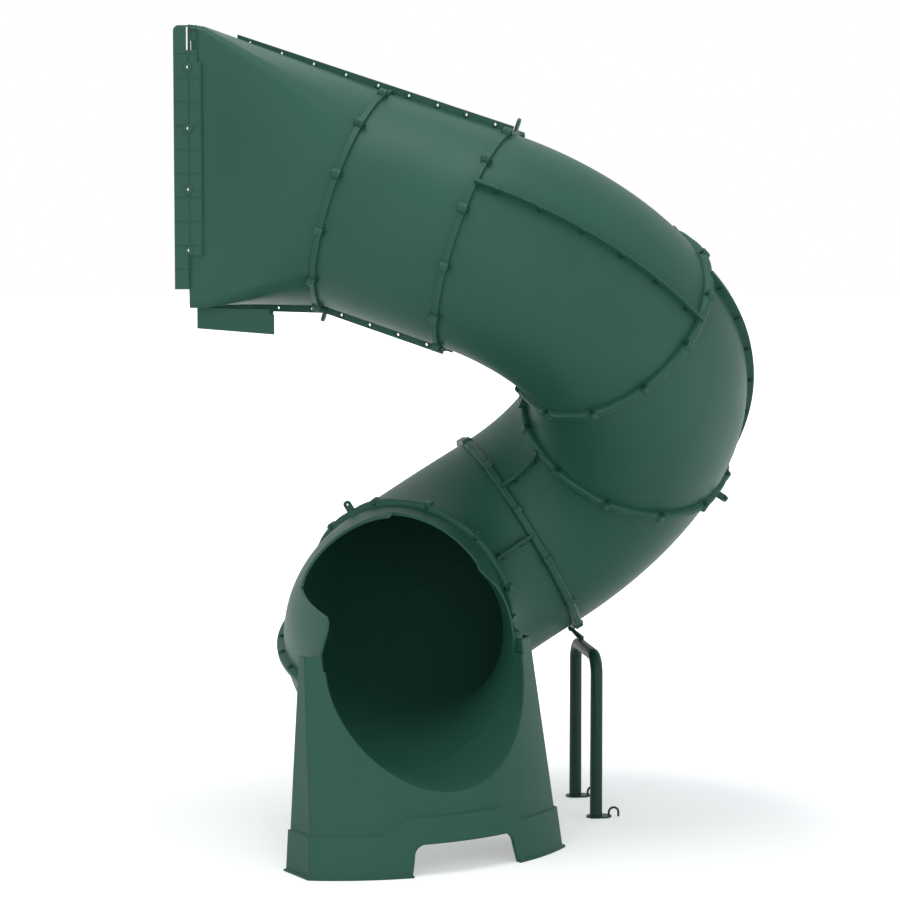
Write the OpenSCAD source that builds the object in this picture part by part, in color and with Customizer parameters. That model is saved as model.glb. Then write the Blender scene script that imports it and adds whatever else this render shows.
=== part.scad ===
// Spiral tube slide for a play deck: an entrance hood, a straight tube, four elbows, an exit elbow,
// a standing foot and a support post, all bolted together through flanges.
// Millimetres. Z is up and z = 0 is the ground. X points squarely away from the deck, Y to its left.
// The origin is the middle of the footprint, on the ground.

/* [Deck] */
// Height of the deck floor above the ground
deck_height = 1524; // [1400:1:1650]
// Height of the hood floor above the deck floor
floor_rise = 66; // [60:1:80]

/* [Tube] */
// Outside diameter of the tube
tube_d = 655; // [640:1:665]
// Wall thickness of the moulded shells
wall = 6; // [4:0.5:8]
// Length of the straight section between its end flanges
straight_length = 381; // [340:1:420]
// Slope of the straight section below level
descent = 17.8; // [17.4:0.1:18.2]
// Turn of the straight section to the right of the deck's square line
entry_turn = 14; // [10:0.5:18]

/* [Elbows] */
// Bend radius along the middle of the tube
bend_r = 514; // [502:1:526]
// Angle that one elbow bends through
bend_angle = 54.7; // [54.2:0.1:55.2]
// Turn of the first elbow about the tube, from straight up towards the outside of the spiral
first_roll = 56; // [55:0.5:58]

/* [Flanges] */
// Thickness of the flange round each tube end
flange_t = 8; // [6:0.5:10]
// Height of the end flange above the tube
flange_h = 10; // [8:1:13]
// Number of bolts round a full joint
ring_bolts = 12; // [12:6:12]
// Height of the bolt circle above the tube
tab_reach = 11; // [10:0.5:13]
// Width of one bolt tab
tab_w = 28; // [24:1:32]
// Thickness of one bolt tab
tab_t = 12; // [10:0.5:14]
// Thickness of the flanges along the shell seams
seam_t = 5; // [4:0.5:6]
// Height of the seam flanges above the tube
seam_h = 22; // [20:1:26]
// Radius of the raised boss round each seam hole
boss_r = 9; // [8:0.5:10]
// Height of that boss
boss_h = 2; // [1:0.5:3]
// Height of the seam holes above the tube
seam_hole_rise = 11; // [10:0.5:12]
// Radius of the round end of a lifting eye
lug_r = 12; // [11:0.5:14]
// Thickness of an eye
lug_t = 8; // [6:0.5:10]
// Height of an eye's hole above the tube
lug_reach = 36; // [33:1:42]

/* [Fasteners] */
// Diameter of the bolt shanks
bolt_d = 8; // [6:0.5:9]
// Clearance round a shank, on the diameter
bolt_clearance = 1; // [0.5:0.25:1.5]
// Diameter of the domed bolt heads
head_d = 16; // [14:0.5:17]
// Height of the bolt heads and nuts
head_h = 5; // [4:0.5:6]

/* [Hood] */
// Height of the mouth
mouth_h = 815; // [795:1:830]
// Width of the mouth
mouth_w = 670; // [650:1:700]
// Corner radius of the mouth
mouth_corner = 22; // [16:1:30]
// Depth of the straight-sided collar behind the mouth
collar = 46; // [42:1:60]
// Distance from the mouth to the middle of the first joint
hood_length = 482; // [470:1:500]
// Length of the flange along the top seam
top_seam = 498; // [440:1:505]
// Length of the flange along the bottom seam
bottom_seam = 225; // [200:1:240]

/* [Mounting strips] */
// Thickness of the strip
strip_t = 6; // [5:0.5:8]
// How far the strip stands out in front of the mouth
strip_ahead = 41; // [36:1:44]
// How far the strip's middle part reaches behind the mouth
strip_behind = 40; // [36:1:44]
// Length of the strip
strip_length = 756; // [745:1:765]
// How far the strip ends above the hood floor
strip_low = 56; // [50:1:60]
// Gap between two screw holes
strip_hole_pitch = 175; // [170:1:178]
// Radius of a screw hole
strip_hole_r = 4; // [3:0.25:5]
// Height of the first hole above the strip's lower end
first_hole_z = 112; // [108:1:116]

/* [Deck bracket] */
// Distance between the outer faces of the bracket's side plates
bracket_w = 534; // [500:1:560]
// Length of the side plates
bracket_length = 224; // [210:1:240]
// Plate thickness
bracket_t = 5; // [4:0.5:6]

/* [Exit foot] */
// Width of the foot on the ground
foot_w = 830; // [815:1:845]
// Width of the foot at the top of its wings
foot_top_w = 756; // [748:1:766]
// Height of the wings above the middle of the tube's end
wing_rise = 42; // [25:1:50]
// Reach of the foot's bowed front, from the tube's end
foot_reach = 235; // [220:1:250]
// Radius of the bowed front on the ground
bow_r = 700; // [690:1:760]
// Backward lean of the front, in degrees
front_lean = 10; // [8:0.5:11]
// Wall of the foot
foot_wall = 7; // [6:0.5:8]
// Height of the skirt at its ends
skirt_h = 118; // [110:1:125]
// Extra height of the skirt over the notch
skirt_hump = 46; // [34:1:48]
// How far the skirt stands out
skirt_out = 8; // [6:0.5:10]
// Height of the notch under the front
notch_h = 88; // [75:1:95]
// Width of the notch on the ground
notch_w = 362; // [330:1:380]
// How far the notch sits to the right of the foot's middle, seen from the front
notch_shift = 33; // [0:1:45]

/* [Support post] */
// Diameter of the post tube
post_d = 38; // [34:1:42]
// Wall of the post tube
post_wall = 2; // [1.5:0.25:3]
// Distance between the two legs
post_span = 320; // [300:1:330]
// Height of the post above its base plates
post_height = 510; // [500:1:516]
// Bend radius of the post's shoulders
post_bend_r = 55; // [50:1:60]
// How far the post's middle sits from the hanging lug, towards the deck side
post_shift = 112; // [104:1:120]

/* [Hidden] */

$fn = 96;
green = [0.16, 0.36, 0.28];
post_green = [0.11, 0.25, 0.19];
steel_green = [0.13, 0.29, 0.23];
tiny = 1;
// The shells run past a seam or a joint by this much before they are cut off square
over = 2;

// Where the middle of the mouth stands, from the middle of the footprint
mouth_x = -813.2;
mouth_y = 39.4;

tube_r = tube_d / 2;
bore_r = tube_r - wall;
flange_r = tube_r + flange_h;
bolt_circle = tube_r + tab_reach;
seam_r = tube_r + seam_h;
seam_hole_r = tube_r + seam_hole_rise;
hole_r = (bolt_d + bolt_clearance) / 2;
pitch = 360 / ring_bolts;
floor_z = deck_height + floor_rise;

// Frames of the seven joints: Z runs down the tube and X points to the outer side of the last bend
function turn_z(a) = [[cos(a), -sin(a), 0, 0], [sin(a), cos(a), 0, 0], [0, 0, 1, 0], [0, 0, 0, 1]];
function turn_y(a) = [[cos(a), 0, sin(a), 0], [0, 1, 0, 0], [-sin(a), 0, cos(a), 0], [0, 0, 0, 1]];
function shift(v) = [[1, 0, 0, v[0]], [0, 1, 0, v[1]], [0, 0, 1, v[2]], [0, 0, 0, 1]];
function roll_at(i) = i == 2 ? first_roll : -pitch;
function joint(i) =
    i == 1 ? shift([mouth_x + hood_length, mouth_y - hood_length * tan(entry_turn), joint_1_z])
            * turn_z(-entry_turn) * turn_y(90 + descent) * turn_z(180)
    : i == 2 ? joint(1) * shift([0, 0, straight_length])
    : joint(i - 1) * turn_z(roll_at(i - 1)) * shift([-bend_r, 0, 0]) * turn_y(-bend_angle)
            * shift([bend_r, 0, 0]);
function place(m, p) = [for (row = [0:2]) (m * [p[0], p[1], p[2], 1])[row]];
function heading(m) = atan2(m[1][2], m[0][2]);

// The hood floor falls a little from the mouth to the first joint, and the roof along the collar
floor_fall = 5;
roof_fall = 6;
joint_1_z = floor_z + tube_r * cos(descent) - floor_fall;
roof_z = floor_z + mouth_h;
exit_end = joint(7);
exit_heading = heading(exit_end);
exit_z = exit_end[2][3];
foot_h = exit_z + wing_rise;

// One half of a ring about Z: side 1 is the +Y half and side -1 the other. It runs past the seam by over
module half_ring(r1, r2, z1, z2, side, over = 0) {
    past = over / r1 * 180 / PI;
    rotate([0, 0, (side > 0 ? 0 : 180) - past])
        rotate_extrude(angle = 180 + 2 * past)
            translate([r1, z1]) square([r2 - r1, z2 - z1]);
}

// Bolt tab at an angle round the joint, from z1 upwards
module tab(angle, z1) {
    rotate([0, 0, angle]) {
        translate([bolt_circle, 0, z1]) cylinder(r = tab_w / 2, h = tab_t);
        translate([tube_r - wall / 2, -tab_w / 2, z1]) cube([tab_reach + wall / 2, tab_w, tab_t]);
    }
}

// Angles of the tabs on one half, from the seam plane
function tab_angles(side, clock) =
    [for (i = [0:ring_bolts / 2 - 1]) (side > 0 ? 0 : 180) + pitch * (i + 0.5) + clock];

// End flange with its tabs: up is 1 where the flange rises from z = 0, and -1 where it hangs below it
module end_flange(side, up, clock = 0, past = 0) {
    z1 = up > 0 ? 0 : -flange_t;
    half_ring(tube_r - wall / 2, flange_r, z1, z1 + flange_t + past, side);
    for (a = tab_angles(side, clock)) tab(a, up > 0 ? 0 : -tab_t);
}

module ring_holes(side, clock = 0) {
    for (a = tab_angles(side, clock))
        rotate([0, 0, a]) translate([bolt_circle, 0, -tab_t - tiny])
            cylinder(r = hole_r, h = 2 * (tab_t + tiny), $fn = 32);
}

// Eye for lifting and hanging, standing out of an end flange
module lug(angle, z1) {
    rotate([0, 0, angle]) difference() {
        union() {
            translate([tube_r + lug_reach, 0, z1]) cylinder(r = lug_r, h = lug_t);
            translate([tube_r - wall / 2, -lug_r, z1]) cube([lug_reach + wall / 2, 2 * lug_r, lug_t]);
        }
        translate([tube_r + lug_reach, 0, z1 - tiny]) cylinder(r = hole_r, h = lug_t + 2 * tiny, $fn = 32);
    }
}

// Angles of the eyes at each joint, from the outer side of the bend that follows
hanger_angle = 74;
eye_angles = [[], [], [-60], [], [60], [-60, hanger_angle], [-60]];

// Raised rim and hole on a seam flange, drilled along Y from the seam plane
module seam_boss(side, over = 0) {
    rotate([side > 0 ? -90 : 90, 0, 0]) translate([0, 0, -over])
        cylinder(r = boss_r, h = seam_t + boss_h + over, $fn = 32);
}
module seam_hole() {
    rotate([90, 0, 0]) translate([0, 0, -seam_t - boss_h - tiny])
        cylinder(r = hole_r, h = 2 * (seam_t + boss_h + tiny), $fn = 32);
}

// Straight section
straight_holes = 4;
outlet_clock = first_roll - pitch * floor(first_roll / pitch) - pitch;
function straight_hole_z(i) = straight_length * (i + 0.6) / (straight_holes + 0.2);

module straight_half(side) {
    multmatrix(joint(1)) difference() {
        union() {
            half_ring(bore_r, tube_r, 0, straight_length, side);
            for (x = [tube_r - wall / 2, -seam_r]) {
                translate([x, side > 0 ? 0 : -seam_t, 0])
                    cube([seam_h + wall / 2, seam_t, straight_length]);
            }
            for (i = [0:straight_holes - 1], s = [1, -1])
                translate([s * seam_hole_r, 0, straight_hole_z(i)]) seam_boss(side);
            end_flange(side, 1);
            translate([0, 0, straight_length]) end_flange(side, -1, outlet_clock);
            intersection() {
                lug(180, 0);
                translate([-2 * tube_r, side > 0 ? 0 : -tube_r, -tiny]) cube([2 * tube_r, tube_r, tab_t]);
            }
        }
        for (i = [0:straight_holes - 1], s = [1, -1])
            translate([s * seam_hole_r, 0, straight_hole_z(i)]) seam_hole();
        ring_holes(side);
        translate([0, 0, straight_length]) ring_holes(side, outlet_clock);
    }
}

// Elbows, from joint i to joint i + 1. Side -1 is the upper half and side 1 the lower
outer_bolts = 6;
inner_bolts = 2;
function bolt_angle(i, count) = bend_angle * (i + 0.5) / count;

module elbow_frame(i) {
    multmatrix(joint(i) * turn_z(roll_at(i))) children();
}
// X runs out from the bend's axis, Y along the travel and Z square to the bend
module bend_frame() {
    translate([-bend_r, 0, 0]) rotate([90, 0, 0]) children();
}
module at_elbow_end() {
    translate([-bend_r, 0, 0]) rotate([0, -bend_angle, 0]) translate([bend_r, 0, 0]) children();
}

// What lies beyond an elbow's far end, and how far the shell runs into it before it is cut off
past_angle = over / (bend_r + tube_r) * 180 / PI;
module beyond_elbow() {
    at_elbow_end() translate([-tube_d, -tube_d, 0]) cube([2 * tube_d, 2 * tube_d, tube_r]);
}
module half_profile() {
    difference() {
        translate([bend_r, 0]) circle(r = tube_r);
        translate([bend_r, 0]) circle(r = bore_r);
        translate([0, -2 * tube_r]) square([2 * bend_r, 2 * tube_r]);
    }
    for (x = [tube_r - wall / 2, -seam_r])
        translate([bend_r + x, 0]) square([seam_h + wall / 2, seam_t]);
}

// Places its children at each seam bolt, with Y square to the seam plane
module at_seam_bolts(outer_from = 0, outer_to = outer_bolts - 1) {
    for (i = [outer_from:outer_to])
        translate([-bend_r, 0, 0]) rotate([0, -bolt_angle(i, outer_bolts), 0])
            translate([bend_r + seam_hole_r, 0, 0]) children();
    for (i = [0:inner_bolts - 1])
        translate([-bend_r, 0, 0]) rotate([0, -bolt_angle(i, inner_bolts), 0])
            translate([bend_r - seam_hole_r, 0, 0]) children();
}

module eyes(i, side) {
    for (a = eye_angles[i]) if (side * a > 0) lug(a, 0);
}
module elbow_half(i, side) {
    elbow_frame(i) difference() {
        union() {
            bend_frame() mirror([0, 0, side > 0 ? 1 : 0])
                rotate_extrude(angle = bend_angle + past_angle) half_profile();
            at_seam_bolts() seam_boss(side);
            end_flange(side, 1);
            at_elbow_end() end_flange(side, -1, 0, over / 4);
            eyes(i, side);
        }
        beyond_elbow();
        at_seam_bolts() seam_hole();
        ring_holes(side);
        at_elbow_end() ring_holes(side);
    }
}

// Exit elbow. The upper half is cut back to a short hood at its top and a low wall down each side
exit_wall_h = 191;
ramp_foot = exit_wall_h + 0.4;
exit_ramp_from = 9;
exit_ramp_to = 31;
exit_corner = 45;
ramp_steps = 12;
corner_steps = 6;

// The S-shaped ramp from the hood down to the side wall, cut square across the tube on one side of it
module ramp_cut(side) {
    length = (bend_r + side * tube_r) * (exit_ramp_to - exit_ramp_from) * PI / 180;
    start = tube_r - tiny;
    translate([side > 0 ? bend_r : bend_r - seam_r - tiny, 0, 0]) rotate([90, 0, 90])
        linear_extrude(height = seam_r + tiny) polygon(concat([[0, 2 * tube_r]],
            [for (k = [0:ramp_steps]) [length * k / ramp_steps,
                start - (start - ramp_foot) * (1 - cos(180 * k / ramp_steps)) / 2]],
            [[tube_r, ramp_foot], [tube_r, 2 * tube_r]]));
}
module exit_cut() {
    bend_frame() {
        // Everything above the side walls, from the foot of the ramp onwards
        rotate([0, 0, exit_ramp_to]) rotate_extrude(angle = bend_angle)
            translate([bend_r - seam_r - tiny, exit_wall_h]) square([2 * (seam_r + tiny), tube_r]);
        rotate([0, 0, exit_ramp_from]) for (side = [1, -1]) ramp_cut(side);
        // The round corner at the open end
        rotate([0, 0, bend_angle]) translate([bend_r - seam_r - tiny, 0, 0])
            rotate([90, 0, 90]) linear_extrude(height = 2 * (seam_r + tiny)) polygon(concat(
                [[tiny, exit_wall_h - exit_corner]],
                [for (k = [0:corner_steps]) let (a = 90 * k / corner_steps)
                    [exit_corner * (cos(a) - 1), exit_wall_h + exit_corner * (sin(a) - 1)]],
                [[-exit_corner, exit_wall_h + tiny], [tiny, exit_wall_h + tiny]]));
    }
}

module exit_half(side) {
    elbow_frame(6) difference() {
        union() {
            bend_frame() mirror([0, 0, side > 0 ? 1 : 0])
                rotate_extrude(angle = bend_angle + past_angle) half_profile();
            at_seam_bolts() seam_boss(side);
            end_flange(side, 1);
            if (side > 0) at_elbow_end() end_flange(side, -1, 0, over / 4);
            eyes(6, side);
        }
        beyond_elbow();
        at_seam_bolts() seam_hole();
        ring_holes(side);
        if (side > 0) at_elbow_end() ring_holes(side);
        if (side < 0) exit_cut();
    }
}

// Hood: a rounded rectangle at the mouth, straight through the collar, then drawn over into the tube
hood_steps = 6;
flat_points = 5;
corner_points = 4;
side_points = 9;
corner_angle = 38;
corner_sweep = 14;
over_angle = over / tube_r * 180 / PI;

// Half outline of the mouth from just past the middle of the roof to just past the middle of the floor,
// [sideways, height]
function half_outline(w, top, bottom, r) = concat(
    [for (i = [0:flat_points]) [i == 0 ? -over : (w - r) * i / flat_points, top]],
    [for (i = [1:corner_points]) let (a = 90 * i / corner_points)
        [w - r + r * sin(a), top - r + r * cos(a)]],
    [for (i = [1:side_points]) [w, top - r - (top - bottom - 2 * r) * i / side_points]],
    [for (i = [1:corner_points]) let (a = 90 * i / corner_points)
        [w - r + r * cos(a), bottom + r - r * sin(a)]],
    [for (i = [1:flat_points]) [i == flat_points ? -over : (w - r) * (1 - i / flat_points), bottom]]);

// Angles round the tube that meet those points, from straight up to straight down
function half_angles() = let (side_sweep = 180 - 2 * (corner_angle + corner_sweep)) concat(
    [for (i = [0:flat_points]) i == 0 ? -over_angle : corner_angle * i / flat_points],
    [for (i = [1:corner_points]) corner_angle + corner_sweep * i / corner_points],
    [for (i = [1:side_points]) corner_angle + corner_sweep + side_sweep * i / side_points],
    [for (i = [1:corner_points]) 180 - corner_angle - corner_sweep * (1 - i / corner_points)],
    [for (i = [1:flat_points]) i == flat_points ? 180 + over_angle : 180 - corner_angle * (1 - i / flat_points)]);

// One outline of the hood, at x behind the mouth. inset is the distance inside the outer face
function mouth_ring(x, side, inset) =
    let (drop = x / collar * roof_fall, aside = x * tan(entry_turn))
    [for (p = half_outline(mouth_w / 2 - side * aside - inset, roof_z - drop - inset, floor_z + inset,
            mouth_corner - inset))
        [mouth_x + x, mouth_y - aside - side * p[0], p[1]]];
function tube_ring(side, r) = [for (a = half_angles()) place(joint(1), [r * cos(a), side * r * sin(a), over])];
function between(p, q, t) = [for (i = [0:len(p) - 1]) p[i] * (1 - t) + q[i] * t];
function hood_rings(side, inset) = concat([mouth_ring(0, side, inset)],
    [for (k = [0:hood_steps])
        between(mouth_ring(collar, side, inset), tube_ring(side, tube_r - inset), k / hood_steps)]);

module hood_shell(side) {
    outer = hood_rings(side, 0);
    inner = hood_rings(side, wall);
    rings = len(outer);
    count = len(outer[0]);
    points = [for (set = [outer, inner], ring = set, p = ring) p];
    function at(set, k, i) = (set * rings + k) * count + i;
    function quad(a, b, c, d) = side > 0 ? [[a, b, c], [a, c, d]] : [[a, c, b], [a, d, c]];
    faces = [for (group = concat(
        [for (k = [0:rings - 2], i = [0:count - 2])
            quad(at(0, k, i), at(0, k + 1, i), at(0, k + 1, i + 1), at(0, k, i + 1))],
        [for (k = [0:rings - 2], i = [0:count - 2])
            quad(at(1, k, i), at(1, k, i + 1), at(1, k + 1, i + 1), at(1, k + 1, i))],
        [for (i = [0:count - 2]) quad(at(0, 0, i), at(0, 0, i + 1), at(1, 0, i + 1), at(1, 0, i))],
        [for (i = [0:count - 2], k = [rings - 1])
            quad(at(0, k, i), at(1, k, i), at(1, k, i + 1), at(0, k, i + 1))],
        [for (k = [0:rings - 2]) quad(at(0, k, 0), at(1, k, 0), at(1, k + 1, 0), at(0, k + 1, 0))],
        [for (k = [0:rings - 2], i = [count - 1])
            quad(at(0, k, i), at(0, k + 1, i), at(1, k + 1, i), at(1, k, i))]), f = group) f];
    polyhedron(points = points, faces = faces, convexity = 6);
}

// Points in the upright plane through the seams, as [distance from the mouth, height]: a is measured
// up the tube from the first joint and r across it, positive towards the roof
function in_seam(a, r) = [hood_length / cos(entry_turn) + r * sin(descent) - a * cos(descent),
    joint_1_z + r * cos(descent) + a * sin(descent)];
function on_line(p, q, x) = [x, p[1] + (q[1] - p[1]) * (x - p[0]) / (q[0] - p[0])];
module seam_plane() {
    translate([mouth_x, mouth_y, 0]) rotate([90, 0, -entry_turn]) children();
}
module on_side(side) {
    seam_plane() mirror([0, 0, side > 0 ? 0 : 1]) children();
}
module at_seam_point(p) {
    seam_plane() translate([p[0], p[1], 0]) rotate([-90, 0, 0]) rotate([0, 0, 180]) children();
}

hood_top_holes = 5;
hood_bottom_holes = 2;
hood_hole_pitch = 103;
first_top_hole = 43;
first_bottom_hole = 42;
back = collar / cos(entry_turn);
ceiling_start = [back, roof_z - roof_fall];
floor_start = [back, floor_z];
function top_hole(i) = in_seam(first_top_hole + i * hood_hole_pitch, seam_hole_r);
function bottom_hole(i) =
    let (edge = in_seam(0, -tube_r), x = edge[0] - first_bottom_hole - i * hood_hole_pitch)
    on_line(floor_start, edge, x) - [0, seam_hole_rise];

module hood_half(side) {
    top_end = in_seam(top_seam, tube_r + seam_h);
    top_edge = in_seam(0, tube_r);
    low_edge = in_seam(0, -tube_r);
    low_end = low_edge[0] - bottom_seam;
    drop = [0, seam_h];
    sunk = [0, wall / 2];
    difference() {
        union() {
            hood_shell(side);
            multmatrix(joint(1)) {
                half_ring(tube_r - wall / 2, flange_r, -flange_t, over / 2, side, over / 2);
                for (a = tab_angles(side, 0)) tab(a, -tab_t);
            }
            on_side(side) translate([0, 0, -over / 2]) linear_extrude(height = seam_t + over / 2) {
                polygon([top_end, in_seam(0, tube_r + seam_h), top_edge - sunk,
                    on_line(ceiling_start, top_edge, top_end[0]) - sunk]);
                polygon([on_line(floor_start, low_edge, low_end) - drop, low_edge - drop,
                    low_edge + sunk, on_line(floor_start, low_edge, low_end) + sunk]);
            }
            for (i = [0:hood_top_holes - 1]) at_seam_point(top_hole(i)) seam_boss(side, over / 2);
            for (i = [0:hood_bottom_holes - 1]) at_seam_point(bottom_hole(i)) seam_boss(side, over / 2);
        }
        on_side(side) translate([-tube_d, 0, -tube_d]) cube([3 * tube_d, 2 * floor_z, tube_d]);
        multmatrix(joint(1)) translate([-tube_d, -tube_d, 0]) cube([2 * tube_d, 2 * tube_d, tube_d]);
        multmatrix(joint(1)) ring_holes(side);
        for (i = [0:hood_top_holes - 1]) at_seam_point(top_hole(i)) seam_hole();
        for (i = [0:hood_bottom_holes - 1]) at_seam_point(bottom_hole(i)) seam_hole();
        strip_frame(side) translate([0, 0, -2 * wall]) linear_extrude(height = 3 * wall) intersection() {
            strip_slot();
            translate([wall, 0]) square([strip_behind, strip_length - 2 * mouth_corner]);
        }
    }
}

// Flat strips that screw the hood to the deck posts: a grid of ribs, a row of screw bosses and an end slot
strip_holes = 4;
cross_ribs = 10;
first_rib_z = 58;
rib_pitch = 68.5;
rib_w = 3;
rib_h = 1.5;
pad_from = 97;
pad_to = 651;
screw_boss_r = 13;
screw_boss_h = 3;
slot_x = -4;
slot_w = 29;
slot_h = 66;
slot_edge = 5;
strip_corner = 16;
slot_post = 4;

// X runs out from the mouth, Y up from the strip's lower end and Z away from the hood wall
module strip_frame(side) {
    translate([mouth_x, mouth_y - side * mouth_w / 2, floor_z + strip_low])
        rotate([90, 0, 0]) mirror([0, 0, side > 0 ? 0 : 1]) children();
}
module strip_slot() {
    translate([slot_x, strip_length - slot_edge - slot_h]) square([slot_w, slot_h]);
}
module strip_outline() {
    translate([-strip_ahead, 0]) square([strip_ahead, strip_length - strip_corner]);
    translate([-strip_ahead + strip_corner, 0]) square([strip_ahead - strip_corner, strip_length]);
    translate([-strip_ahead + strip_corner, strip_length - strip_corner]) circle(r = strip_corner);
    translate([-tiny, pad_from]) square([strip_behind + tiny, pad_to - pad_from]);
    translate([-tiny, pad_to - tiny]) square([slot_x + slot_w + slot_post, strip_length - pad_to + tiny]);
}
function rib_end(y) = y < pad_from ? 0 : y > pad_to - rib_w ? slot_x + slot_w : strip_behind - rib_w;
module mounting_strip(side) {
    slot_low = strip_length - slot_edge - slot_h;
    strip_frame(side) difference() {
        union() {
            linear_extrude(height = strip_t) difference() {
                strip_outline();
                strip_slot();
            }
            // The upright bar in the slot, the long rib below it, the cross ribs and the pad's edge rib
            translate([slot_x + slot_w / 3, slot_low - tiny, 0]) cube([rib_w, slot_h + 2 * tiny, strip_t / 2]);
            translate([rib_w / 2, 0, strip_t / 2]) cube([rib_w, slot_low, strip_t / 2 + rib_h]);
            for (i = [0:cross_ribs - 1]) let (y = first_rib_z + i * rib_pitch)
                translate([-strip_ahead + rib_w, y, strip_t / 2])
                    cube([strip_ahead - rib_w + rib_end(y), rib_w, strip_t / 2 + rib_h]);
            translate([strip_behind - rib_w, pad_from, strip_t / 2])
                cube([rib_w, pad_to - pad_from, strip_t / 2 + rib_h]);
            for (i = [0:strip_holes - 1]) translate([0, first_hole_z + i * strip_hole_pitch, 0])
                cylinder(r = screw_boss_r, h = strip_t + screw_boss_h, $fn = 48);
        }
        for (i = [0:strip_holes - 1]) translate([0, first_hole_z + i * strip_hole_pitch, -tiny])
            cylinder(r = strip_hole_r, h = strip_t + screw_boss_h + 2 * tiny, $fn = 32);
    }
}

// Bracket under the hood floor: two side plates, each with a raised tab, and a cross plate at the deck edge
bracket_x = 17;
bracket_h = 62;
bracket_dip = 18;
bracket_tab_from = 122;
bracket_tip = 14;
bracket_step = 22;
far_plate_short = 30;
module deck_bracket() {
    color(green) translate([mouth_x + bracket_x, mouth_y, floor_z]) {
        for (s = [1, -1]) let (tail = s > 0 ? bracket_length : bracket_length - far_plate_short)
            translate([0, s > 0 ? bracket_t - bracket_w / 2 : bracket_w / 2, 0])
                rotate([90, 0, 0]) linear_extrude(height = bracket_t)
                    polygon([[0, -bracket_h], [tail, -bracket_h - bracket_dip],
                        [tail, -bracket_step], [tail - bracket_tip, -bracket_step],
                        [tail - bracket_tip, -floor_fall], [bracket_tab_from, -floor_fall],
                        [collar - bracket_x, 0], [0, 0]]);
        translate([0, -bracket_w / 2, -bracket_h])
            cube([bracket_t, bracket_w, bracket_h]);
    }
}

// Exit foot: a hollow moulded stand with a bowed, leaning front, a skirt, a notch and the end of the trough.
// In its frame X runs out of the slide's exit and Y to the right of a person looking at the front
foot_back = -40;
foot_shift = 10;
rim_h = 6;
rim_out = 8;
hump_half = 140;
hump_ramp = 100;
hump_steps = 8;
notch_corner = 34;
notch_taper = 12;
trough_fall = 4.5;
trough_aside = 3;
trough_flare = 14;
trough_length = 280;

module foot_frame() {
    translate([exit_end[0][3], exit_end[1][3], 0]) rotate([0, 0, exit_heading]) children();
}
function side_at(z) = foot_w / 2 - (foot_w - foot_top_w) / 2 * z / foot_h;

// Solid outline of the foot, grown by out and capped at a height
module foot_body(out, top, back) {
    lean = tan(front_lean);
    translate([0, foot_shift, 0]) intersection() {
        translate([foot_reach - bow_r, 0, 0])
            cylinder(r1 = bow_r + out, r2 = bow_r + out - top * lean, h = top);
        translate([back, 0, 0]) rotate([90, 0, 90]) linear_extrude(height = foot_reach + out - back)
            polygon([[-foot_w / 2 - out, 0], [foot_w / 2 + out, 0],
                [side_at(top) + out, top], [-side_at(top) - out, top]]);
    }
}

// The skirt's top edge rises over the notch through an S on each side
function hump_point(side, k) = [side * (hump_half + hump_ramp * (1 - k / hump_steps)),
    skirt_h + skirt_hump * (1 - cos(180 * k / hump_steps)) / 2];
module skirt() {
    intersection() {
        foot_body(skirt_out, skirt_h + skirt_hump, foot_back);
        translate([foot_back - tiny, foot_shift, 0]) rotate([90, 0, 90]) linear_extrude(height = 2 * foot_reach)
            polygon(concat([[-foot_w, 0], [foot_w, 0], [foot_w, skirt_h]],
                [for (k = [0:hump_steps]) hump_point(1, k)],
                [for (k = [hump_steps:-1:0]) hump_point(-1, k)],
                [[-foot_w, skirt_h]]));
    }
}

// The trough widens a little on its way from the last joint to the front
module trough(out) {
    foot_frame() translate([0, 0, exit_z]) rotate([0, 0, trough_aside]) rotate([0, 90 + trough_fall, 0])
        translate([0, 0, -foot_reach])
            cylinder(r1 = bore_r + out - trough_flare * foot_reach / trough_length,
                r2 = bore_r + out + trough_flare, h = foot_reach + trough_length);
}
// Everything above the trough's middle
module above_trough(out) {
    foot_frame() translate([foot_back - tiny, 0, exit_z]) rotate([0, 0, trough_aside])
        linear_extrude(height = foot_h) polygon([[-foot_reach, -bore_r - out], [trough_length, -bore_r - out - trough_flare],
            [trough_length, bore_r + out + trough_flare], [-foot_reach, bore_r + out]]);
}
module notch_outline() {
    side = notch_w / 2 - notch_taper;
    polygon([[-notch_w / 2, -tiny], [notch_w / 2, -tiny], [side, notch_h - notch_corner],
        [-side, notch_h - notch_corner]]);
    for (s = [1, -1]) translate([s * (side - notch_corner), notch_h - notch_corner]) circle(r = notch_corner);
    translate([notch_corner - side, 0]) square([2 * (side - notch_corner), notch_h]);
}

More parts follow.
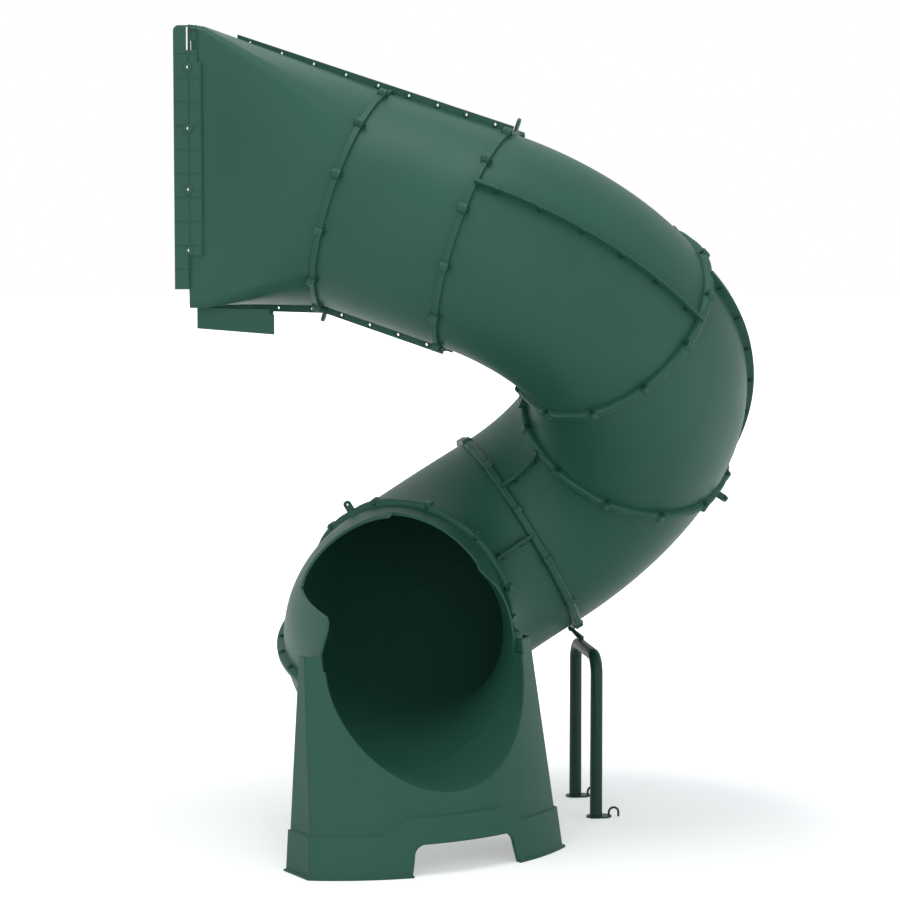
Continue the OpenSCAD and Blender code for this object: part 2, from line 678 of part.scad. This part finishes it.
// The wall across the back, square to the last joint, with the tabs that take its bolts
module foot_bulkhead() {
    intersection() {
        foot_frame() foot_body(0, foot_h, foot_back);
        multmatrix(exit_end) translate([-foot_w, -foot_w, 0]) cube([2 * foot_w, 2 * foot_w, flange_t]);
    }
    multmatrix(exit_end) for (a = tab_angles(1, 0)) tab(a, 0);
}
module exit_foot() {
    color(green) difference() {
        union() {
            // The outer walls, open underneath and behind
            foot_frame() difference() {
                union() {
                    foot_body(0, foot_h, foot_back);
                    skirt();
                    intersection() {
                        foot_body(skirt_out + rim_out, rim_h, foot_back);
                        translate([foot_back, -foot_w, 0]) cube([2 * foot_w, 2 * foot_w, rim_h]);
                    }
                }
                translate([0, 0, -tiny]) foot_body(-foot_wall, foot_h + 2 * tiny, foot_back - tiny);
                translate([0, notch_shift, 0]) rotate([90, 0, 90]) linear_extrude(height = 2 * foot_reach)
                    notch_outline();
            }
            foot_bulkhead();
            // The trough's wall and the walls above it, inside the outer walls
            intersection() {
                foot_frame() foot_body(-foot_wall / 2, foot_h, foot_back);
                union() {
                    trough(wall);
                    above_trough(wall);
                    foot_top();
                }
                multmatrix(exit_end) translate([-foot_w, -foot_w, 0]) cube([2 * foot_w, 2 * foot_w, 2 * foot_w]);
            }
        }
        trough(0);
        above_trough(0);
        multmatrix(exit_end) ring_holes(1);
    }
}
// The flat tops of the two wings
module foot_top() {
    foot_frame() translate([foot_back, -foot_w, foot_h - foot_wall]) cube([2 * foot_w, 2 * foot_w, foot_wall]);
}

// Support post: an inverted U of tube under the fifth joint
hang = place(joint(5) * turn_z(roll_at(5) + hanger_angle), [tube_r + lug_reach, 0, 0]);
post_heading = heading(joint(5)) + 90;
post_aside = 18;
plate_t = 5;
module post_frame() {
    translate([hang[0], hang[1], 0]) rotate([0, 0, post_heading]) translate([post_shift, post_aside, 0])
        children();
}
module post_solid(r) {
    bar_z = plate_t + post_height - post_d / 2;
    leg_h = bar_z - post_bend_r - plate_t;
    for (s = [1, -1]) {
        translate([s * post_span / 2, 0, plate_t]) cylinder(r = r, h = leg_h, $fn = 64);
        translate([s * (post_span / 2 - post_bend_r), 0, plate_t + leg_h])
            mirror([s > 0 ? 0 : 1, 0, 0]) rotate([90, 0, 0])
                rotate_extrude(angle = 90) translate([post_bend_r, 0]) circle(r = r, $fn = 64);
    }
    translate([-post_span / 2 + post_bend_r, 0, bar_z]) rotate([0, 90, 0])
        cylinder(r = r, h = post_span - 2 * post_bend_r, $fn = 64);
}
module support_post() {
    color(post_green) post_frame() difference() {
        post_solid(post_d / 2);
        post_solid(post_d / 2 - post_wall);
    }
}

// A base plate welded under each leg, with a hole for its stake
plate_l = 78;
plate_w = 54;
plate_off = 9;
stake_d = 7;
stake_gap = 1;
stake_x = 40;
stake_span = 30;
stake_h = 28;
module at_legs() {
    post_frame() for (s = [1, -1]) translate([s * post_span / 2, 0, 0])
        rotate([0, 0, 90]) children();
}
module base_plates() {
    color(post_green) at_legs() difference() {
        union() {
            for (s = [1, -1])
                translate([plate_off + s * (plate_l - plate_w) / 2, 0, 0])
                    cylinder(r = plate_w / 2, h = plate_t);
            translate([plate_off - (plate_l - plate_w) / 2, -plate_w / 2, 0])
                cube([plate_l - plate_w, plate_w, plate_t]);
        }
        translate([stake_x, 0, -tiny])
            cylinder(r = (stake_d + stake_gap) / 2, h = plate_t + 2 * tiny, $fn = 32);
    }
}
module ground_stakes() {
    color(steel_green) at_legs() {
        rise = stake_h - stake_span / 2;
        for (x = [0, stake_span]) translate([stake_x + x, 0, 0]) cylinder(d = stake_d, h = rise, $fn = 32);
        translate([stake_x + stake_span / 2, 0, rise]) rotate([90, 0, 0])
            rotate_extrude(angle = 180) translate([stake_span / 2, 0]) circle(d = stake_d, $fn = 32);
    }
}

// Strap from the fifth joint's lug down to the post, bolted at both ends
strap_t = 5;
strap_w = 22;
saddle_w = 18;
saddle_drop = 8;
saddle_rise = 4;
saddle_gap = 0.2;
strap_foot = 88;
module strap_top_frame() {
    multmatrix(joint(5) * turn_z(roll_at(5) + hanger_angle)) translate([tube_r + lug_reach, 0, lug_t])
        children();
}
module strap_low_frame() {
    post_frame() translate([-strap_foot, 0, plate_t + post_height]) children();
}
module hanger_strap() {
    color(steel_green) difference() {
        union() {
            hull() {
                strap_top_frame() cylinder(r = strap_w / 2, h = strap_t, $fn = 32);
                strap_low_frame() translate([0, 0, saddle_rise / 2]) cylinder(r = strap_w / 2, h = strap_t, $fn = 32);
            }
            strap_low_frame() translate([-saddle_w / 2, -saddle_w / 2, -saddle_drop])
                cube([saddle_w, saddle_w, saddle_drop + saddle_rise]);
        }
        strap_top_frame() {
            translate([0, 0, -strap_t]) cylinder(r = hole_r, h = 3 * strap_t, $fn = 32);
            // The flat that the bolt head sits on
            translate([0, 0, strap_t]) cylinder(r = head_d / 2 + tiny, h = 3 * head_h, $fn = 48);
        }
        post_solid_in_place(post_d / 2 + saddle_gap);
    }
}
module post_solid_in_place(r) {
    post_frame() post_solid(r);
}

// Bolt through a joint of thickness grip, centred on z = 0, with a domed head up and a nut down
module bolt(grip) {
    translate([0, 0, -grip / 2 - head_h]) cylinder(d = bolt_d, h = grip + head_h + 2, $fn = 32);
    translate([0, 0, grip / 2]) intersection() {
        cylinder(d = head_d, h = head_h, $fn = 32);
        translate([0, 0, head_h - 0.8 * head_d]) sphere(r = 0.8 * head_d, $fn = 48);
    }
    translate([0, 0, -grip / 2 - head_h + 1]) cylinder(d = head_d * 0.9, h = head_h - 1, $fn = 6);
}

module joint_bolts(i) {
    count = i == 7 ? ring_bolts / 2 : ring_bolts;
    color(steel_green) multmatrix(joint(i) * turn_z(i == 2 ? first_roll : 0))
        for (k = [0:count - 1])
            rotate([0, 0, pitch * (k + 0.5)]) translate([bolt_circle, 0, 0]) bolt(2 * tab_t);
}
module seam_bolts(i) {
    color(steel_green) elbow_frame(i) at_seam_bolts() rotate([90, 0, 0]) bolt(2 * (seam_t + boss_h));
}
module hanger_bolts() {
    color(steel_green) strap_top_frame() translate([0, 0, (strap_t - lug_t) / 2]) bolt(lug_t + strap_t);
}

module hood_near() { color(green) hood_half(1); }
module hood_far() { color(green) hood_half(-1); }
module mounting_strip_near() { color(green) mounting_strip(1); }
module mounting_strip_far() { color(green) mounting_strip(-1); }
module straight_near() { color(green) straight_half(1); }
module straight_far() { color(green) straight_half(-1); }
module elbow_a_upper() { color(green) elbow_half(2, -1); }
module elbow_a_lower() { color(green) elbow_half(2, 1); }
module elbow_b_upper() { color(green) elbow_half(3, -1); }
module elbow_b_lower() { color(green) elbow_half(3, 1); }
module elbow_c_upper() { color(green) elbow_half(4, -1); }
module elbow_c_lower() { color(green) elbow_half(4, 1); }
module elbow_d_upper() { color(green) elbow_half(5, -1); }
module elbow_d_lower() { color(green) elbow_half(5, 1); }
module exit_upper() { color(green) exit_half(-1); }
module exit_lower() { color(green) exit_half(1); }

hood_near();
hood_far();
mounting_strip_near();
mounting_strip_far();
deck_bracket();
straight_near();
straight_far();
elbow_a_upper();
elbow_a_lower();
elbow_b_upper();
elbow_b_lower();
elbow_c_upper();
elbow_c_lower();
elbow_d_upper();
elbow_d_lower();
exit_upper();
exit_lower();
exit_foot();
support_post();
base_plates();
ground_stakes();
hanger_strap();
hanger_bolts();
joint_bolts(1);  // joint_1_bolts
joint_bolts(2);  // joint_2_bolts
joint_bolts(3);  // joint_3_bolts
joint_bolts(4);  // joint_4_bolts
joint_bolts(5);  // joint_5_bolts
joint_bolts(6);  // joint_6_bolts
joint_bolts(7);  // joint_7_bolts
seam_bolts(2);  // seam_a_bolts
seam_bolts(3);  // seam_b_bolts
seam_bolts(4);  // seam_c_bolts
seam_bolts(5);  // seam_d_bolts
seam_bolts(6);  // exit_seam_bolts
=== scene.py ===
# %% [markdown]
# # A spiral tube slide, dressed for its portrait
# The slide is a chain of moulded green half shells: an entrance hood, a short straight, five
# elbows and a foot, with a small steel post under the last turns. The shapes come ready made in
# model.glb, one object for each piece, all in metres and in one set of axes. What is left to do
# here is what a product photographer and a finisher would do: set up the camera, the white room
# and the lamps, and give each piece the surface that it has in the hand.

# %% Load the slide
import math

import bpy
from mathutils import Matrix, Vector


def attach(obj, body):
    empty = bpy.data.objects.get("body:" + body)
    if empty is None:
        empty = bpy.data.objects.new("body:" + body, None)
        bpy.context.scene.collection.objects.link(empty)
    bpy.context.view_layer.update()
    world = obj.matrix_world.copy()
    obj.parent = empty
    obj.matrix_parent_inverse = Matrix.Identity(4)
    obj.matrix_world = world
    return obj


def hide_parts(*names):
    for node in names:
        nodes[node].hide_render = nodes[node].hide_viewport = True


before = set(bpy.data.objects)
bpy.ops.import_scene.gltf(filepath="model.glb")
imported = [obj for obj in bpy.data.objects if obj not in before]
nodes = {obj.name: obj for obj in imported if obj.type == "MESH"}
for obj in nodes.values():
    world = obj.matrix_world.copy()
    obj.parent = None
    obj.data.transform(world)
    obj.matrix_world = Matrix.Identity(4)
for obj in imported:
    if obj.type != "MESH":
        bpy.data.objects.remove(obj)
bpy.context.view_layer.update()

# %% [markdown]
# ## The camera
# The photograph was taken from far off, a little above the middle of the slide, so its lines
# hardly converge. A short lens close by would bow the tube and enlarge the foot. A lens of 135 mm
# at ten metres gives the flat look, and the camera looks down by a little under six degrees.

# %% Set up the camera
LOOK_AT = Vector((-0.0612, -0.0810, 1.158))
LOOK_DOWN = 0.10035
DISTANCE = 10.0
LENS_MM = 135.0
FILM_MM = 36.0
FAR_ENOUGH = 100.0

camera_data = bpy.data.cameras.new("portrait")
camera_data.lens = LENS_MM
camera_data.sensor_width = FILM_MM
camera_data.clip_end = FAR_ENOUGH
camera = bpy.data.objects.new("portrait", camera_data)
camera.location = LOOK_AT + DISTANCE * Vector((0, -math.cos(LOOK_DOWN), math.sin(LOOK_DOWN)))
camera.rotation_euler = (math.pi / 2 - LOOK_DOWN, 0, 0)
bpy.context.scene.collection.objects.link(camera)
bpy.context.scene.camera = camera
bpy.context.scene.view_settings.view_transform = "Standard"
print("camera at", [round(v, 3) for v in camera.location])

# %% [markdown]
# ## Wiring surfaces with Python's own signs
# A surface in Blender is a little machine of nodes. Written out call by call, a simple sum such
# as `1 - mask` takes four lines. The class below wraps one output of one node, so that a plain
# sum adds the Math node that works it out. Everything else that a surface needs, a noise, a ramp
# or a bump, comes from one method, which is told the kind of node, its settings and what goes
# into its sockets.

# %% A socket that can be added and multiplied
class Wire:
    """One output of a node. Sums on it become Math nodes."""

    def __init__(self, surface, socket):
        self.surface = surface
        self.socket = socket

    def __add__(self, other):
        return self.surface.sum("ADD", self, other)

    def __sub__(self, other):
        return self.surface.sum("SUBTRACT", self, other)

    def __rsub__(self, other):
        return self.surface.sum("SUBTRACT", other, self)

    def __mul__(self, other):
        return self.surface.sum("MULTIPLY", self, other)

    def __pow__(self, other):
        return self.surface.sum("POWER", self, other)

    __radd__ = __add__
    __rmul__ = __mul__


print("a Wire knows + - * ** and their reflected forms")

# %% A surface, made of nodes
class Surface:
    """A material, or the world, whose nodes are made by part, sum and blend."""

    def __init__(self, name, kind="materials"):
        self.owner = getattr(bpy.data, kind).new(name)
        self.owner.use_nodes = True
        self.tree = self.owner.node_tree
        self.tree.nodes.clear()

    def part(self, kind, settings=None, inputs=None, out=0):
        """Any node: settings are set first, then its sockets get a number, a colour or a Wire."""
        made = self.tree.nodes.new(kind)
        for key, value in (settings or {}).items():
            if key == "stops":
                for stop, (place, tone) in zip(made.color_ramp.elements, value):
                    stop.position = place
                    stop.color = (tone, tone, tone, 1)
            else:
                setattr(made, key, value)
        for key, value in (inputs or {}).items():
            self.plug(made.inputs[key], value)
        return Wire(self, made.outputs[out])

    def plug(self, socket, value):
        if isinstance(value, Wire):
            self.tree.links.new(value.socket, socket)
        else:
            socket.default_value = value

    def sum(self, operation, a, b):
        return self.part("ShaderNodeMath", {"operation": operation}, {0: a, 1: b})

    def blend(self, factor, a, b):
        """A colour between a and b. A Mix node's colour sockets are 6 and 7, and 2 comes out."""
        return self.part("ShaderNodeMix", {"data_type": "RGBA"}, {0: factor, 6: a, 7: b}, out=2)

    def finish(self, shader, output="ShaderNodeOutputMaterial"):
        end = self.tree.nodes.new(output)
        self.tree.links.new(shader.socket, end.inputs["Surface"])
        print(self.owner.name, "has", len(self.tree.nodes), "nodes")
        return self.owner


print("a Surface makes nodes with part, sum and blend")

# %% [markdown]
# ## The white room
# The slide stands on nothing but white in the photograph, with a soft grey shadow where the foot
# and the post meet the ground. A white sheet lit until it burns out would also light the slide
# far too much, from below. So the floor is an ordinary pale sheet that takes the shadow, and it
# adds a glow of its own that only the camera, and what the camera sees in a reflection, can see.
# The glow grows to full white a few metres out, where no shadow falls, so that floor and backdrop
# meet without a line.

# %% Seen rays, and the floor
def seen_rays(surface):
    """1 for the rays that the camera, a mirror or a glass sees by, 0 for those that carry light."""
    path = surface.part("ShaderNodeLightPath")
    outputs = path.socket.node.outputs
    camera_ray = Wire(surface, outputs["Is Camera Ray"])
    glossy = Wire(surface, outputs["Is Glossy Ray"])
    through = Wire(surface, outputs["Is Transmission Ray"])
    return surface.part("ShaderNodeClamp", None, {0: camera_ray + glossy + through})


FLOOR_SIZE = 60.0
FLOOR_DROP = 0.0005

half = FLOOR_SIZE / 2
corners = [(-half, -half, 0), (half, -half, 0), (half, half, 0), (-half, half, 0)]
floor_mesh = bpy.data.meshes.new("floor")
floor_mesh.from_pydata(corners, [], [(0, 1, 2, 3)])
floor = bpy.data.objects.new("floor", floor_mesh)
floor.location.z = -FLOOR_DROP
bpy.context.scene.collection.objects.link(floor)
print("floor of", FLOOR_SIZE, "m,", FLOOR_DROP, "m under the slide's feet")

# %% The paper, and its glow
WHITE = (1, 1, 1, 1)
BLACK = (0, 0, 0, 1)
PAPER = (0.80, 0.80, 0.80, 1)
NEAR_GLOW = 0.36
FADE_FROM = 1.0
FADE_OVER = 2.0

sheet = Surface("white_sheet")
paper = sheet.part("ShaderNodeBsdfDiffuse", None, {"Color": PAPER})
near = sheet.part("ShaderNodeEmission", None, {"Color": WHITE, "Strength": NEAR_GLOW})
far = sheet.part("ShaderNodeEmission", None, {"Color": WHITE, "Strength": 1.0})
nothing = sheet.part("ShaderNodeEmission", None, {"Color": BLACK, "Strength": 0.0})
where = sheet.part("ShaderNodeTexCoord", out="Object")
distance = sheet.part("ShaderNodeVectorMath", {"operation": "LENGTH"}, {0: where}, out="Value")
fade = sheet.part("ShaderNodeClamp", None, {0: (distance - FADE_FROM) * (1 / FADE_OVER)})
glow = sheet.part("ShaderNodeMixShader", None, {0: fade, 1: near, 2: far})
seen_glow = sheet.part("ShaderNodeMixShader", None, {0: seen_rays(sheet), 1: nothing, 2: glow})
lit_paper = sheet.part("ShaderNodeAddShader", None, {0: paper, 1: seen_glow})
floor.data.materials.append(sheet.finish(lit_paper))

# %% The room's own light
ROOM_LIGHT = 0.70
COOL_WHITE = (0.93, 0.97, 1.0, 1)

room = Surface("white_room", "worlds")
dim = room.part("ShaderNodeBackground", None, {"Color": COOL_WHITE, "Strength": ROOM_LIGHT})
seen_white = room.part("ShaderNodeBackground", None, {"Color": WHITE, "Strength": 1.0})
either = room.part("ShaderNodeMixShader", None, {0: seen_rays(room), 1: dim, 2: seen_white})
bpy.context.scene.world = room.finish(either, "ShaderNodeOutputWorld")

# %% [markdown]
# ## The lamps
# Satin plastic shows the shape of its lamps as broad pale bands. Most of the light in the
# photograph comes evenly from the white room, which leaves the inside of the tube dark. One soft
# lamp almost straight above draws a band along the roof of the hood, the straight and the first
# elbow. A large one above the camera and two at the sides only lift the near walls. Small lamps
# would draw hard streaks.

# %% Hang the lamps
def lamp(name, place, aim, size, power):
    data = bpy.data.lights.new(name, "AREA")
    data.shape = "RECTANGLE"
    data.size, data.size_y = size
    data.energy = power
    made = bpy.data.objects.new(name, data)
    made.location = place
    made.rotation_euler = (Vector(aim) - Vector(place)).to_track_quat("-Z", "Y").to_euler()
    bpy.context.scene.collection.objects.link(made)
    print("lamp", name, size, "m,", power, "W")


MIDDLE = (0.0, 0.0, 1.2)
lamp("sky", (-0.8, -0.9, 6.8), MIDDLE, (3.0, 3.0), 140.0)
lamp("front", (-0.8, -8.5, 3.2), MIDDLE, (6.0, 5.0), 136.0)
lamp("left", (-5.5, -4.5, 3.2), MIDDLE, (3.0, 4.0), 12.0)
lamp("right", (6.0, -4.0, 2.6), MIDDLE, (3.0, 4.0), 34.0)

# %% [markdown]
# ## Moulded plastic
# The shells are roto-moulded: powder melts against the wall of a turning mould and cools there.
# That leaves a surface that is even in colour but never quite flat, with a broad slow wave from
# shrinking, a fine orange peel from the mould's blasted skin, and a satin gloss that changes a
# little from place to place. Outdoors the upward faces turn a little paler. All of it is worked
# out from the place in space, with no picture, so that it runs on across the joints at one scale.
# Powder can't fill a sharp corner of the mould, so no moulded edge is sharp. A Bevel node bends
# the light round the edges, more on the foot, whose edges are the roundest.

# %% The green of the shells
GREEN = (0.0185, 0.0870, 0.0560, 1)
GREEN_DEEP = (0.0150, 0.0740, 0.0475, 1)
GREEN_PALE = (0.0280, 0.1050, 0.0700, 1)


def place_in_space(surface):
    """The point on the object, in metres."""
    return surface.part("ShaderNodeTexCoord", out="Object")


def noise(surface, point, scale, detail=2.0, roughness=0.5):
    return surface.part("ShaderNodeTexNoise", None,
                        {"Vector": point, "Scale": scale, "Detail": detail, "Roughness": roughness})


def facing_up(surface):
    """0 on walls and undersides, up to 1 on level tops."""
    normal = surface.part("ShaderNodeNewGeometry", out="Normal")
    upright = surface.part("ShaderNodeVectorMath", {"operation": "DOT_PRODUCT"},
                           {0: normal, 1: (0, 0, 1)}, out="Value")
    return surface.part("ShaderNodeClamp", None, {0: upright})


print("greens:", GREEN[:3], GREEN_DEEP[:3], GREEN_PALE[:3])

# %% Moulded shells
# How fine each pattern is, as the scale of its noise on a surface measured in metres
CLOUDS, CHALK, SPECKS = 2.6, 9.0, 420.0
WAVES, PEEL, SATIN = 5.0, 300.0, 7.0
# How much each pattern does
CLOUD_SHARE, CHALK_SHARE, SPECK_SHARE = 0.6, 0.55, 0.10
WAVE_DEPTH, PEEL_DEPTH = 0.006, 0.0006
SATIN_RANGE = 0.10
SHELL_SPECULAR = 0.25


def moulded(name, mid, deep, pale, gloss, edge):
    shell = Surface(name)
    point = place_in_space(shell)
    cloud = shell.part("ShaderNodeValToRGB", {"stops": ((0.35, 0.0), (0.68, 1.0))},
                       {0: noise(shell, point, CLOUDS, 4.0)})
    speckle = shell.part("ShaderNodeValToRGB", {"stops": ((0.56, 0.0), (0.74, 1.0))},
                         {0: noise(shell, point, SPECKS, 1.0)})
    chalk = facing_up(shell) ** 3.0 * noise(shell, point, CHALK, 5.0) * CHALK_SHARE
    colour = shell.blend(cloud * CLOUD_SHARE, mid, deep)
    colour = shell.blend(chalk + speckle * SPECK_SHARE, colour, pale)
    peel = noise(shell, point, PEEL, 2.0)
    wave = noise(shell, point, WAVES, 1.0)
    rounded = shell.part("ShaderNodeBevel", {"samples": 6}, {"Radius": edge})
    fine = shell.part("ShaderNodeBump", None, {
        "Strength": 0.10, "Distance": PEEL_DEPTH, "Height": peel, "Normal": rounded})
    skin = shell.part("ShaderNodeBump", None, {
        "Strength": 0.22, "Distance": WAVE_DEPTH, "Height": wave, "Normal": fine})
    satin = noise(shell, point, SATIN, 3.0) * SATIN_RANGE + (gloss - SATIN_RANGE / 2)
    shader = shell.part("ShaderNodeBsdfPrincipled", None, {
        "Base Color": colour, "Roughness": satin, "Normal": skin,
        "IOR": 1.5, "Specular IOR Level": SHELL_SPECULAR})
    return shell.finish(shader)


moulded_green = moulded("moulded_green", GREEN, GREEN_DEEP, GREEN_PALE, 0.50, 0.003)
moulded_foot = moulded("moulded_foot", GREEN, GREEN_DEEP, GREEN_PALE, 0.52, 0.009)

# %% [markdown]
# ## Painted steel
# The post, its plates, the strap and the bolts are steel under a dark green powder coat. Powder
# coat is a little glossier than the shells and has a finer, tighter peel, and some dust lies on
# its upper sides. The coat layer of the shader gives a second, sharper reflection over the broad
# one, stronger on the bolts.

# %% Powder coat on the post and the hardware
PAINT_CLOUDS, PAINT_DUST, PAINT_PEEL = 14.0, 60.0, 700.0
PAINT_CLOUD_SHARE, PAINT_DUST_SHARE = 0.25, 0.7
PAINT_PEEL_DEPTH = 0.0004
GLOSS_RANGE = 0.12
PAINT_SPECULAR = 0.20
COAT_ROUGHNESS = 0.24


def powder_coat(name, mid, dusty, gloss, coat):
    paint = Surface(name)
    point = place_in_space(paint)
    cloud = noise(paint, point, PAINT_CLOUDS, 4.0)
    dust = facing_up(paint) ** 2.0 * noise(paint, point, PAINT_DUST, 4.0) * PAINT_DUST_SHARE
    colour = paint.blend(cloud * PAINT_CLOUD_SHARE + dust, mid, dusty)
    peel = noise(paint, point, PAINT_PEEL, 1.5)
    skin = paint.part("ShaderNodeBump", None, {
        "Strength": 0.12, "Distance": PAINT_PEEL_DEPTH, "Height": peel})
    satin = cloud * GLOSS_RANGE + (gloss - GLOSS_RANGE / 2)
    shader = paint.part("ShaderNodeBsdfPrincipled", None, {
        "Base Color": colour, "Roughness": satin, "Normal": skin,
        "Specular IOR Level": PAINT_SPECULAR,
        "Coat Weight": coat, "Coat Roughness": COAT_ROUGHNESS})
    return paint.finish(shader)


POST_GREEN, POST_DUSTY = (0.0080, 0.0400, 0.0240, 1), (0.016, 0.056, 0.037, 1)
BOLT_GREEN, BOLT_DUSTY = (0.0095, 0.0480, 0.0310, 1), (0.020, 0.070, 0.048, 1)
post_coat = powder_coat("post_coat", POST_GREEN, POST_DUSTY, 0.48, 0.05)
bolt_coat = powder_coat("bolt_coat", BOLT_GREEN, BOLT_DUSTY, 0.42, 0.08)

# %% Give every piece its surface
def surface_of(name):
    if name in ("support_post", "base_plates"):
        return post_coat
    if name.endswith("bolts") or name in ("ground_stakes", "hanger_strap"):
        return bolt_coat
    return moulded_foot if name == "exit_foot" else moulded_green


for name, piece in nodes.items():
    piece.data.materials.clear()
    piece.data.materials.append(surface_of(name))
print("dressed", len(nodes), "pieces")

# %% [markdown]
# ## The hood, without its facets
# The hood blends a rounded rectangle into a round tube. The construction does that with a few
# hundred flat triangles, which is close enough to build from but shows as a fan of creases in a
# glossy wall. The real wall is one smooth sweep. The points are right and only the shading
# between them is flat. So each half is shown by a copy whose normals run on across every shallow
# edge, while the flanges keep their corners.

# %% Copy a piece and let its shading run on
import bmesh

SHALLOW = math.radians(24)
WELD = 0.00002


def swept(name, copy_name):
    """A copy of a piece, smooth over every edge that bends by less than SHALLOW."""
    mesh = nodes[name].data.copy()
    mesh.name = copy_name
    work = bmesh.new()
    work.from_mesh(mesh)
    bmesh.ops.remove_doubles(work, verts=work.verts, dist=WELD)
    for face in work.faces:
        face.smooth = True
    for edge in work.edges:
        edge.smooth = edge.is_manifold and edge.calc_face_angle(0.0) < SHALLOW
    creases = sum(1 for edge in work.edges if not edge.smooth)
    print(copy_name, "has", len(work.faces), "faces and keeps", creases, "creased edges")
    work.to_mesh(mesh)
    work.free()
    piece = bpy.data.objects.new(copy_name, mesh)
    bpy.context.scene.collection.objects.link(piece)
    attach(piece, "root")
    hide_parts(name)


swept("hood_near", "hood_near_swept")
swept("hood_far", "hood_far_swept")

# %% [markdown]
# ## The shoulders of the elbow joints
# Where two elbows meet, the mould makes the rim stand out in a deep rounded shoulder that hides
# most of the bolts, and the shoulder dips a little between them. The construction has the plain
# flange and the bolts. Each shoulder here is a swept band: a small rounded section is carried
# once round the joint, a little lower between two bolts than at them. The circle to follow is
# found from the bolts, whose middle is the middle of the joint and which all lie in one plane.

# %% Where a joint is
import numpy as np

SHOULDERED_JOINTS = (3, 4, 5, 6)


def joint_circle(name):
    """The middle of a joint, its axis, and a direction across it towards one bolt."""
    mesh = nodes[name].data
    points = np.empty(len(mesh.vertices) * 3)
    mesh.vertices.foreach_get("co", points)
    points = points.reshape(-1, 3)
    middle = points.mean(axis=0)
    _, sides = np.linalg.eigh(np.cov((points - middle).T))
    axis = sides[:, 0]
    offset = points[0] - middle
    across = offset - axis * offset.dot(axis)
    return middle, axis, across / np.linalg.norm(across)


for number in SHOULDERED_JOINTS:
    middle, axis, across = joint_circle("joint_%d_bolts" % number)
    print("joint", number, "middle", middle.round(4), "axis", axis.round(3))

# %% Sweep a shoulder round each elbow joint
TUBE_R = 0.3275
AROUND = 288
BOLTS = 12
DIP = 0.16
# The section of the shoulder: how far along the tube and how far out of it, in metres
SHOULDER = (
    (-0.0145, -0.001), (-0.0135, 0.010), (-0.0115, 0.0150), (-0.0070, 0.0180), (-0.0012, 0.0186),
    (0.0, 0.0172),
    (0.0012, 0.0186), (0.0070, 0.0180), (0.0115, 0.0150), (0.0135, 0.010), (0.0145, -0.001))


def shoulder(number):
    middle, axis, across = joint_circle("joint_%d_bolts" % number)
    up = np.cross(axis, across)
    points, faces = [], []
    count = len(SHOULDER)
    for i in range(AROUND):
        turn = 2 * math.pi * i / AROUND
        out = across * math.cos(turn) + up * math.sin(turn)
        lower = 1.0 - DIP * (0.5 - 0.5 * math.cos(BOLTS * turn)) ** 3
        for along, height in SHOULDER:
            rise = height * lower if height > 0 else height
            points.append(middle + axis * along + out * (TUBE_R + rise))
        for k in range(count - 1):
            a, b = i * count + k, ((i + 1) % AROUND) * count + k
            faces.append((a, a + 1, b + 1, b))
    mesh = bpy.data.meshes.new("joint_%d_shoulder" % number)
    mesh.from_pydata([tuple(p) for p in points], [], faces)
    mesh.update()
    for face in mesh.polygons:
        face.use_smooth = True
    piece = bpy.data.objects.new("joint_%d_shoulder" % number, mesh)
    bpy.context.scene.collection.objects.link(piece)
    mesh.materials.append(moulded_green)
    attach(piece, "root")
    print(piece.name, len(mesh.polygons), "faces")


for number in SHOULDERED_JOINTS:
    shoulder(number)
